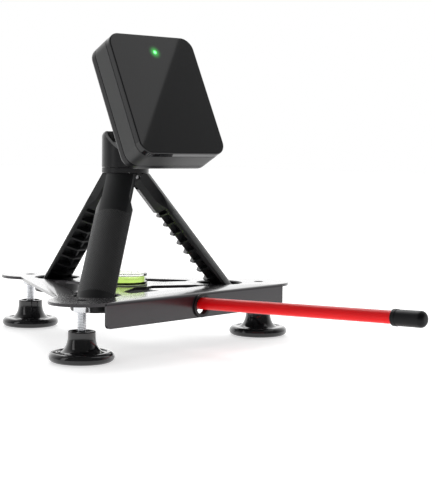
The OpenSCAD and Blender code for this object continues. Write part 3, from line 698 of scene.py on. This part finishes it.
class MONITOR_OT_feet(bpy.types.Operator):
    """Polished knobs, rubber pads and threaded studs"""

    bl_idname = "launch_monitor.feet"
    bl_label = "Levelling feet"

    def execute(self, context):
        settings = looks("feet")
        polish = self.polish(tuple(settings.knob_colour))
        rubber = moulded("pad_rubber", (0.010, 0.010, 0.010), 0.6, 0.6)
        zinc = metal("stud_zinc", tuple(looks("base").zinc_colour), 0.20, (1, 1, 12))
        for arm in ARMS:
            centre = Vector((middle(f"stud_{arm}").x, middle(f"stud_{arm}").y, 0))
            self.knob(arm, centre, polish, settings.rim_groove)
            self.pad(arm, centre, rubber)
            self.stud(arm, centre, zinc, settings.thread_pitch)
        return {"FINISHED"}

    def polish(self, colour):
        m = Maker("polished_black")
        smear = m.noise(60, 4, 0.6)
        fine = m.noise(1500, 2)
        m.set(Base_Color=m.mix(smear, shade(colour, 0.8), shade(colour, 1.3)))
        m.set(Roughness=0.10 + 0.10 * smear.ramp(0.45, 0.8) + 0.03 * fine)
        m.set(Normal=m.bump(fine, 0.06, 0.01 * MM))
        m.set(Coat_Weight=0.4, Coat_Roughness=0.08)
        return m

    def knob(self, arm, centre, polish, groove):
        node = f"knob_{arm}"
        low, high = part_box(node)
        stud_low, stud_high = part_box(f"stud_{arm}")
        radius = (high.x - low.x) / 2
        hub = 8.8 * MM
        bore = (stud_high.x - stud_low.x) / 2
        pad_r = radius * 0.72 + 0.2 * MM
        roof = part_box(f"pad_{arm}")[1].z + 0.1 * MM
        rim = 3.2 * MM
        rim_top = low.z + 2 * rim
        outline = rounded(
            [
                (bore, roof, 0),
                (pad_r, roof, 0),
                (pad_r, low.z, 0.3 * MM),
                (radius, low.z, rim * 0.98),
                (radius, rim_top, rim * 0.98),
                (radius - rim - 1.6 * MM, rim_top, 0.6 * MM),
                (radius - rim - 2.2 * MM, rim_top - groove, 0.3 * MM),
            ],
            steps=8,
        )
        # The flare sweeps from the disc up into the hub
        start_r, start_z = radius - rim - 2.6 * MM, rim_top - groove
        top_z = high.z - 3.0 * MM
        for k in range(13):
            t = math.radians(90 * k / 12)
            flare_r = start_r - (start_r - hub) * math.sin(t)
            flare_z = start_z + (top_z - start_z) * (1 - math.cos(t))
            outline.append(Vector((flare_r, flare_z)))
        outline += rounded(
            [
                (hub, top_z + 0.1 * MM, 0),
                (hub, high.z, 0.7 * MM),
                (hub - 2.2 * MM, high.z, 0.5 * MM),
                (hub - 2.4 * MM, high.z - 1.4 * MM, 0.3 * MM),
                (bore, high.z - 1.4 * MM, 0),
            ],
            steps=5,
        )
        bm = lathe(outline, centre, steps=96, closed=True)
        piece(bm, f"polished_{node}", polish, node, sharp=40)

    def pad(self, arm, centre, rubber):
        node = f"pad_{arm}"
        low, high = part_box(node)
        radius = (high.x - low.x) / 2
        corners = [(0, low.z, 0), (radius, low.z, 0.5 * MM), (radius, high.z, 0.2 * MM), (0, high.z, 0)]
        bm = lathe(rounded(corners, steps=4), centre)
        piece(bm, f"rubber_{node}", rubber, node)

    def stud(self, arm, centre, zinc, pitch):
        node = f"stud_{arm}"
        low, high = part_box(node)
        major = (high.x - low.x) / 2
        minor = major - 0.58 * pitch
        point = 1.0 * MM
        bm = bmesh.new()
        start = low.z - pitch
        places = [(minor, 0), (minor, 0.12), (major, 0.44), (major, 0.56), (minor, 0.88)]
        verts = [bm.verts.new(centre + Vector((r, 0, start + share * pitch))) for r, share in places]
        verts.append(bm.verts.new(centre + Vector((minor, 0, start + pitch))))
        edges = [bm.edges.new(pair) for pair in zip(verts, verts[1:])]
        turns = math.ceil((high.z - start) / pitch) + 1
        around = 28
        bmesh.ops.spin(
            bm,
            geom=verts + edges,
            cent=centre,
            axis=UP,
            dvec=(0, 0, pitch / around),
            angle=2 * math.pi * turns,
            steps=turns * around,
            use_merge=False,
        )
        bmesh.ops.remove_doubles(bm, verts=bm.verts, dist=2e-6)
        for height, direction in ((low.z, -1), (high.z, 1)):
            geometry = bm.verts[:] + bm.edges[:] + bm.faces[:]
            bmesh.ops.bisect_plane(
                bm, geom=geometry, plane_co=(0, 0, height), plane_no=(0, 0, direction), clear_outer=True
            )
            rim = [e for e in bm.edges if e.is_boundary and abs(e.verts[0].co.z - height) < 1e-6]
            bmesh.ops.holes_fill(bm, edges=rim, sides=0)
        tidy(bm)
        piece(bm, f"threaded_{node}", zinc, node, sharp=25)


class MONITOR_OT_rod(bpy.types.Operator):
    """The red alignment rod and its rubber cap"""

    bl_idname = "launch_monitor.rod"
    bl_label = "Alignment rod"

    def execute(self, context):
        settings = looks("rod")
        low, high = own_box("alignment_rod", ROD_FRAME)
        axis_point = ROD_FRAME.to_translation()
        forward = ROD_INWARD
        radius = (high.x - low.x) / 2
        corners = [(0, low.y, 0), (radius, low.y, 0.5 * MM), (radius, high.y, 0.6 * MM), (0, high.y, 0)]
        piece(
            lathe(rounded(corners), axis_point, forward),
            "painted_rod",
            self.enamel(tuple(settings.rod_colour)),
            "alignment_rod",
        )
        self.cap(axis_point, forward, radius, tuple(settings.cap_colour))
        return {"FINISHED"}

    def enamel(self, colour):
        m = Maker("red_enamel")
        along = m.noise(260, 3, 0.5, m.place(ROD_FRAME, (1, 0.04, 1)))
        cloud = m.noise(30)
        m.set(Base_Color=m.mix(cloud, shade(colour, 0.92), shade(colour, 1.05)))
        m.set(Roughness=0.30 + 0.05 * along, Normal=m.bump(along, 0.03, 0.01 * MM))
        m.set(Specular_IOR_Level=0.22)
        return m

    def cap(self, axis_point, forward, rod_r, colour):
        low, high = own_box("rod_cap", ROD_FRAME)
        radius = (high.x - low.x) / 2
        ridge = 0.25 * MM
        mouth = high.y
        floor = own_box("alignment_rod", ROD_FRAME)[0].y
        corners = [
            (0, low.y, 0),
            (radius * 0.98, low.y, radius * 0.62),
            (radius - ridge, low.y + 7 * MM, 0.6 * MM),
            (radius - ridge, mouth - 3.2 * MM, 0.3 * MM),
            (radius, mouth - 2.8 * MM, 0.3 * MM),
            (radius, mouth, 0.5 * MM),
            (rod_r + 0.01 * MM, mouth, 0),
            (rod_r + 0.01 * MM, floor, 0),
            (0, floor, 0),
        ]
        rubber = moulded("cap_rubber", colour, 0.36, 0.3, shine=0.2)
        piece(lathe(rounded(corners, steps=5), axis_point, forward), "rubber_cap", rubber, "rod_cap")


# ---------- the tripod ----------


class MONITOR_OT_legs(bpy.types.Operator):
    """The three ribbed legs with a diamond knurl on their grips, and their rubber feet"""

    bl_idname = "launch_monitor.legs"
    bl_label = "Tripod legs"

    def execute(self, context):
        settings = looks("tripod")
        rubber = moulded("leg_pad_rubber", (0.010, 0.010, 0.010), 0.6, 0.6)
        for arm in ARMS:
            plastic = self.grip(arm, tuple(settings.leg_colour), settings.knurl_pitch)
            eased(f"leg_{arm}", f"ribbed_leg_{arm}", plastic, settings.leg_edge, 2, 40)
            eased(f"leg_pad_{arm}", f"rubber_leg_pad_{arm}", rubber, 0.3 * MM)
        return {"FINISHED"}

    def grip(self, arm, colour, pitch):
        axes = leg_frame(arm)
        low, high = own_box(f"leg_{arm}", axes)
        hinge_r = (Vector(JOINTS[f"leg_{arm}_fold"]["pos_m"]) - HUB).xy.length
        m = Maker(f"leg_plastic_{arm}")
        where = m.place(axes)
        x, y, z = m.split(where)
        cloud = m.noise(40, 4, 0.6, where)
        speck = m.noise(2400, 2, 0.5, where)
        round_x = x + hinge_r
        radius = (round_x * round_x + y * y) ** 0.5
        arc = y.angle_from(round_x) * HANDLE_R
        turns = math.pi / pitch
        diamond = abs(((arc + z) * turns).sine()) * abs(((arc - z) * turns).sine())
        skin = radius.ramp(HANDLE_R - 0.6 * MM, HANDLE_R - 0.3 * MM)
        patch = skin * z.between(low.z + 14 * MM, -34 * MM, 0.3 * MM)
        tone = m.mix(cloud.ramp(0.3, 0.7), shade(colour, 0.9), shade(colour, 1.12))
        # Painted shade: the grooves between the knurl's diamonds are painted darker, over the raised bump
        tone = m.mix(patch * (1 - diamond) * 0.6, tone, shade(colour, 0.25))
        # Painted highlight: the diamonds' tops are painted lighter
        tone = m.mix(patch * diamond.ramp(0.5, 0.9) * 0.5, tone, shade(colour, 2.6))
        raised = m.bump(diamond * patch, 0.8, 0.3 * MM)
        fine = m.bump(speck, 0.3, 0.025 * MM, raised)
        m.set(Base_Color=tone, Roughness=0.36 + 0.08 * cloud + 0.05 * speck, Normal=fine)
        m.set(Specular_IOR_Level=0.4)
        return m


class MONITOR_OT_head(bpy.types.Operator):
    """The yoke with its hinge pins, and the head that holds the ball"""

    bl_idname = "launch_monitor.head"
    bl_label = "Tripod head"

    def execute(self, context):
        colour = tuple(looks("tripod").head_colour)
        plastic = moulded("head_plastic", colour, 0.30, 0.2, shine=0.3)
        steel = metal("plain_steel", (0.50, 0.50, 0.51), 0.28)
        acetal = moulded("acetal", (0.05, 0.05, 0.052), 0.4, 0.2)
        eased("leg_yoke", "moulded_yoke", plastic, 0.4 * MM)
        eased("hinge_pins", "steel_pins", steel, 0.3 * MM)
        eased("head_shell", "moulded_head", plastic, 0.5 * MM, 3, 30)
        for node in ("ball_seat", "ball_collar"):
            eased(node, f"acetal_{node}", acetal, 0.25 * MM)
        for node in ("pan_washer", "pan_screw"):
            eased(node, f"steel_{node}", steel, 0.12 * MM)
        return {"FINISHED"}


class MONITOR_OT_stem(bpy.types.Operator):
    """The ball stem, its locking thumb wheel and the pad against the box"""

    bl_idname = "launch_monitor.stem"
    bl_label = "Ball stem"

    def execute(self, context):
        steel = metal("ball_steel", (0.46, 0.46, 0.47), 0.2, (1, 30, 1), BOX_FRAME)
        ribbed = moulded("wheel_rubber", (0.012, 0.012, 0.013), 0.5, 0.4)
        eased("ball_stem", "turned_ball_stem", steel, 0.2 * MM)
        eased("thumb_wheel", "ribbed_thumb_wheel", ribbed, 0.3 * MM, 2, 40)
        eased("mount_pad", "rubber_mount_pad", ribbed, 0.15 * MM)
        return {"FINISHED"}


# ---------- the radar box ----------


class MONITOR_OT_case(bpy.types.Operator):
    """The gloss front, soft middle band, rounded back and the seams between them"""

    bl_idname = "launch_monitor.case"
    bl_label = "Radar case"

    def execute(self, context):
        settings = looks("radar")
        self.wall = 2 * MM
        self.corner = settings.corner
        self.front(settings)
        soft = moulded("soft_touch", tuple(settings.band_colour), 0.40, 0.4, 0.3 * MM, 0.05, BOX_FRAME, 0.5)
        eased("mid_band", "soft_band", soft, 0.35 * MM, 3)
        seam = moulded("seam_rubber", (0.004, 0.004, 0.004), 0.6, 0.2)
        for node in ("front_gasket", "back_gasket"):
            eased(node, f"rubber_{node}", seam, 0.08 * MM)
        self.back(settings)
        return {"FINISHED"}

    def front(self, settings):
        low, high = own_box("front_cover", BOX_FRAME)
        outer = slab(box_outline(low, high, self.corner), low.y, high.y)
        round_rim(outer, low.y, BOX_FRAME, settings.front_edge)
        inner = slab(box_outline(low, high, self.corner, self.wall), low.y + self.wall, high.y + 1 * MM)
        piece(carve(outer, inner), "gloss_front_cover", self.gloss(settings), "front_cover", sharp=25)

    def gloss(self, settings):
        colour = tuple(settings.front_colour)
        glow = tuple(settings.glow_colour)
        lamp = BOX_FRAME.inverted() @ middle("light_pipe")
        m = Maker("gloss_front")
        where = m.place(BOX_FRAME)
        x, y, z = m.split(where)
        haze = m.noise(45, 4, 0.6, where)
        dust = m.noise(3000, 1, 0.5, where)
        tone = m.mix(haze, shade(colour, 0.93), shade(colour, 1.07))
        dx, dz = x - lamp.x, z - lamp.z
        reach = (dx * dx + dz * dz) ** 0.5
        core = 1 - reach.ramp(0.4 * MM, 2.0 * MM)
        halo = 1 - reach.ramp(0.5 * MM, 7.5 * MM)
        light = core * core + 0.10 * halo * halo * halo
        m.set(Base_Color=tone, Roughness=0.025 + 0.015 * haze + 0.04 * dust.ramp(0.7, 0.8))
        m.set(Emission_Color=m.mix(light, (0, 0, 0), glow), Emission_Strength=settings.glow_strength)
        return m

    def back(self, settings):
        low, high = own_box("back_cover", BOX_FRAME)
        outer = slab(box_outline(low, high, self.corner), low.y, high.y)
        round_rim(outer, high.y, BOX_FRAME, settings.back_edge, 7)
        inner = slab(box_outline(low, high, self.corner, self.wall), low.y - 1 * MM, high.y - self.wall)
        insert_low, insert_high = own_box("thread_insert", BOX_FRAME)
        insert_r = (insert_high.x - insert_low.x) / 2
        insert_at = BOX_FRAME @ Vector((0, insert_low.y, (insert_low.z + insert_high.z) / 2))
        depth = high.y - low.y
        cutters = [inner, drill(insert_at, BOX_Y, insert_r, depth)]
        for x in (low.x + self.corner, high.x - self.corner):
            for z in (low.z + self.corner, high.z - self.corner):
                cutters.append(drill(BOX_FRAME @ Vector((x, low.y - 1 * MM, z)), BOX_Y, 1.3 * MM, depth))
                cutters.append(drill(BOX_FRAME @ Vector((x, high.y - 2.4 * MM, z)), BOX_Y, 2.3 * MM, depth))
        satin = moulded("back_satin", tuple(settings.back_colour), 0.34, 0.3, 0.35 * MM, 0.08, BOX_FRAME)
        piece(carve(outer, *cutters), "rounded_back_cover", satin, "back_cover", sharp=28)


class MONITOR_OT_controls(bpy.types.Operator):
    """The power button, the charging port and its flap, the screws and the threaded insert"""

    bl_idname = "launch_monitor.controls"
    bl_label = "Controls and fasteners"

    def execute(self, context):
        rubber = moulded("button_rubber", (0.012, 0.012, 0.013), 0.5, 0.4, 0.3 * MM)
        steel = metal("screw_steel", (0.42, 0.42, 0.43), 0.3, (1, 1, 1))
        brass = metal("insert_brass", (0.68, 0.49, 0.20), 0.26, (1, 1, 1))
        eased("power_button", "rubber_power_button", rubber, 0.35 * MM, 3)
        eased("port_flap", "rubber_port_flap", rubber, 0.2 * MM)
        eased("charging_port", "steel_charging_port", steel, 0.1 * MM)
        eased("thread_insert", "brass_insert", brass, 0.3 * MM)
        self.screws(steel)
        return {"FINISHED"}

    def screws(self, steel):
        """Pan heads with a six-lobed socket."""
        low, high = own_box("case_screws", BOX_FRAME)
        cap_r, cap_t, shank_r = 2.2 * MM, 1.4 * MM, 1.1 * MM
        combined = bmesh.new()
        for x in (low.x + cap_r, high.x - cap_r):
            for z in (low.z + cap_r, high.z - cap_r):
                at = BOX_FRAME @ Vector((x, 0, z))
                outline = rounded(
                    [
                        (0, low.y, 0),
                        (shank_r, low.y, 0.3 * MM),
                        (shank_r, high.y - cap_t, 0),
                        (cap_r, high.y - cap_t, 0.15 * MM),
                        (cap_r, high.y, 0.5 * MM),
                        (0, high.y, 0),
                    ],
                    steps=4,
                )
                head = lathe(outline, at, BOX_Y, 40)
                lobes = []
                for k in range(6):
                    turn = math.radians(60 * k)
                    offset = (BOX_X * math.cos(turn) + BOX_Z * math.sin(turn)) * 0.75 * MM
                    socket_at = at + offset + BOX_Y * (high.y - 0.8 * MM)
                    lobes.append(drill(socket_at, BOX_Y, 0.32 * MM, 2 * MM, 12))
                lobes.append(drill(at + BOX_Y * (high.y - 0.8 * MM), BOX_Y, 0.72 * MM, 2 * MM, 24))
                cut = carve(head, *lobes)
                mesh = bpy.data.meshes.new("screw")
                cut.to_mesh(mesh)
                cut.free()
                combined.from_mesh(mesh)
                bpy.data.meshes.remove(mesh)
        piece(combined, "socket_screws", steel, "case_screws", sharp=28)


class MONITOR_OT_electronics(bpy.types.Operator):
    """Finishes for the boards, shield, battery, light and switch inside the box"""

    bl_idname = "launch_monitor.electronics"
    bl_label = "Electronics"

    def execute(self, context):
        board = Maker("solder_mask")
        tracks = board.noise(700, 1, 0.4)
        tone = board.mix(tracks.ramp(0.48, 0.52), (0.008, 0.09, 0.035), (0.015, 0.15, 0.06))
        board.set(Base_Color=tone, Roughness=0.35 + 0.1 * tracks)
        for node in ("antenna_board", "main_board"):
            repaint(node, board)
        repaint("antenna_shield", metal("tin_shield", (0.62, 0.62, 0.60), 0.3))
        repaint("battery", moulded("battery_wrap", (0.10, 0.16, 0.22), 0.3, 0.2))
        repaint("button_switch", moulded("switch_plastic", (0.02, 0.02, 0.02), 0.4))
        repaint("led", moulded("led_body", (0.8, 0.82, 0.7), 0.25))
        pipe = Maker("light_pipe")
        glow = tuple(looks("radar").glow_colour)
        haze = pipe.noise(500, 2)
        pipe.set(Base_Color=pipe.mix(haze, shade(glow, 0.8), glow), Roughness=0.2 + 0.1 * haze)
        pipe.set(Emission_Color=glow, Emission_Strength=2.0)
        repaint("light_pipe", pipe)
        return {"FINISHED"}


# ---------- the stage ----------


class MONITOR_OT_stage(bpy.types.Operator):
    """The pale floor, soft lights and camera"""

    bl_idname = "launch_monitor.stage"
    bl_label = "Stage"

    def execute(self, context):
        settings = looks("stage")
        self.floor(tuple(settings.floor_colour))
        eye = self.camera(context, settings)
        self.world(context, eye)
        self.gloss_card(eye)
        target = HUB + UP * 0.08
        self.panel("top_light", target + Vector((0.45, 0.6, 1.0)), target, 0.9, 0.9, 5)
        self.panel("left_light", target + Vector((-1.1, 0.35, 0.45)), target, 0.35, 1.0, 1.3)
        return {"FINISHED"}

    def floor(self, colour):
        bm = bmesh.new()
        bmesh.ops.create_grid(bm, x_segments=1, y_segments=1, size=6)
        mesh = bpy.data.meshes.new("floor")
        bm.to_mesh(mesh)
        bm.free()
        floor = bpy.data.objects.new("floor", mesh)
        bpy.context.scene.collection.objects.link(floor)
        m = Maker("pale_floor")
        m.set(Base_Color=m.mix(m.noise(3), shade(colour, 0.99), colour))
        m.set(Roughness=0.9, Specular_IOR_Level=0.1)
        m.set(Emission_Color=(1, 1, 1), Emission_Strength=0.62)
        mesh.materials.append(m.material)

    def camera(self, context, settings):
        azimuth, elevation = math.radians(settings.azimuth), math.radians(settings.elevation)
        flat = math.cos(elevation)
        back = Vector((math.sin(azimuth) * flat, -math.cos(azimuth) * flat, math.sin(elevation)))
        data = bpy.data.cameras.new("camera")
        data.lens = settings.lens
        data.clip_start, data.clip_end = 0.01, 50
        camera = bpy.data.objects.new("camera", data)
        context.scene.collection.objects.link(camera)
        turn = back.to_track_quat("Z", "Y").to_matrix() @ Matrix.Rotation(math.radians(settings.roll), 3, "Z")
        eye = HUB + Vector(settings.aim) + back * settings.distance
        camera.matrix_world = Matrix.Translation(eye) @ turn.to_4x4()
        context.scene.camera = camera
        context.scene.view_settings.view_transform = "Standard"
        return eye

    def world(self, context, eye):
        """White to the eye; for light and reflections dimmer on the camera's side than behind."""
        world = bpy.data.worlds.new("studio")
        world.use_nodes = True
        context.scene.world = world
        tree = world.node_tree
        away = (HUB - eye).normalized()
        coordinates = tree.nodes.new("ShaderNodeTexCoord")
        along = tree.nodes.new("ShaderNodeVectorMath")
        along.operation = "DOT_PRODUCT"
        along.inputs[1].default_value = away
        tree.links.new(coordinates.outputs["Generated"], along.inputs[0])
        ramp = tree.nodes.new("ShaderNodeMapRange")
        for name, value in (("From Min", -0.25), ("From Max", 0.8), ("To Min", 0.10), ("To Max", 1.5)):
            ramp.inputs[name].default_value = value
        tree.links.new(along.outputs["Value"], ramp.inputs["Value"])
        path = tree.nodes.new("ShaderNodeLightPath")
        seen = tree.nodes.new("ShaderNodeMix")
        seen.data_type = "FLOAT"
        seen.inputs[3].default_value = 1.0
        tree.links.new(path.outputs["Is Camera Ray"], seen.inputs[0])
        tree.links.new(ramp.outputs["Result"], seen.inputs[2])
        tree.links.new(seen.outputs[0], tree.nodes["Background"].inputs["Strength"])
        tree.nodes["Background"].inputs["Color"].default_value = (1, 1, 1, 1)

    def panel(self, name, at, target, width, height, power):
        data = bpy.data.lights.new(name, "AREA")
        data.shape = "RECTANGLE"
        data.size, data.size_y = width, height
        data.energy = power
        lamp = bpy.data.objects.new(name, data)
        bpy.context.scene.collection.objects.link(lamp)
        turn = (at - target).to_track_quat("Z", "Y").to_matrix().to_4x4()
        lamp.matrix_world = Matrix.Translation(at) @ turn
        lamp.visible_camera = False
        return lamp

    def gloss_card(self, eye):
        """A card whose straight edge crosses the front's reflection from the top right to the lower left."""
        low, high = own_box("front_cover", BOX_FRAME)
        width, height = high.x - low.x, high.z - low.z
        face = BOX_FRAME @ Vector((0, low.y, 0))
        mirrored = eye - 2 * (eye - face).dot(BOX_Y) * BOX_Y
        top = BOX_FRAME @ Vector((low.x + 0.86 * width, low.y, high.z))
        bottom = BOX_FRAME @ Vector((low.x, low.y, low.z + 0.04 * height))
        lit = BOX_FRAME @ Vector((low.x, low.y, high.z))
        reach = 2.2
        top, bottom, lit = (mirrored + (p - mirrored) * reach for p in (top, bottom, lit))
        along = (top - bottom).normalized()
        across = (lit - bottom) - (lit - bottom).dot(along) * along
        across.normalize()
        length, breadth = 0.7, 0.5
        at = (top + bottom) / 2 + across * breadth / 2
        toward = along.cross(across).normalized()
        if toward.dot(at - face) < 0:
            toward = -toward
            along = -along
        data = bpy.data.lights.new("gloss_card", "AREA")
        data.shape = "RECTANGLE"
        data.size, data.size_y = length, breadth
        data.energy = 0.6 * math.pi * length * breadth
        card = bpy.data.objects.new("gloss_card", data)
        bpy.context.scene.collection.objects.link(card)
        turn = Matrix((along, across, toward)).transposed().to_4x4()
        card.matrix_world = Matrix.Translation(at) @ turn
        card.visible_camera = False


OPERATORS = (
    MONITOR_OT_base_plate,
    MONITOR_OT_cups,
    MONITOR_OT_nuts,
    MONITOR_OT_level,
    MONITOR_OT_rod_fittings,
    MONITOR_OT_feet,
    MONITOR_OT_rod,
    MONITOR_OT_legs,
    MONITOR_OT_head,
    MONITOR_OT_stem,
    MONITOR_OT_case,
    MONITOR_OT_controls,
    MONITOR_OT_electronics,
    MONITOR_OT_stage,
)


class MONITOR_PT_panel(bpy.types.Panel):
    """Lists the steps that build the launch monitor"""

    bl_idname = "MONITOR_PT_panel"
    bl_label = "Launch monitor"
    bl_space_type = "VIEW_3D"
    bl_region_type = "UI"
    bl_category = "Launch monitor"

    def draw(self, context):
        for group in LOOKS:
            box = self.layout.box()
            box.label(text=group.capitalize())
            settings = looks(group)
            for name in settings.bl_rna.properties.keys():
                if name not in ("rna_type", "name"):
                    box.prop(settings, name)
        for operator in OPERATORS:
            self.layout.operator(operator.bl_idname)


def register():
    for cls in (*LOOKS.values(), *OPERATORS, MONITOR_PT_panel):
        bpy.utils.register_class(cls)
    for group, cls in LOOKS.items():
        setattr(bpy.types.Scene, f"launch_monitor_{group}", PointerProperty(type=cls))


def unregister():
    for group in LOOKS:
        delattr(bpy.types.Scene, f"launch_monitor_{group}")
    for cls in reversed((*LOOKS.values(), *OPERATORS, MONITOR_PT_panel)):
        bpy.utils.unregister_class(cls)


def main():
    register()
    for operator in OPERATORS:
        group, name = operator.bl_idname.split(".")
        getattr(getattr(bpy.ops, group), name)()


if __name__ == "__main__":
    main()
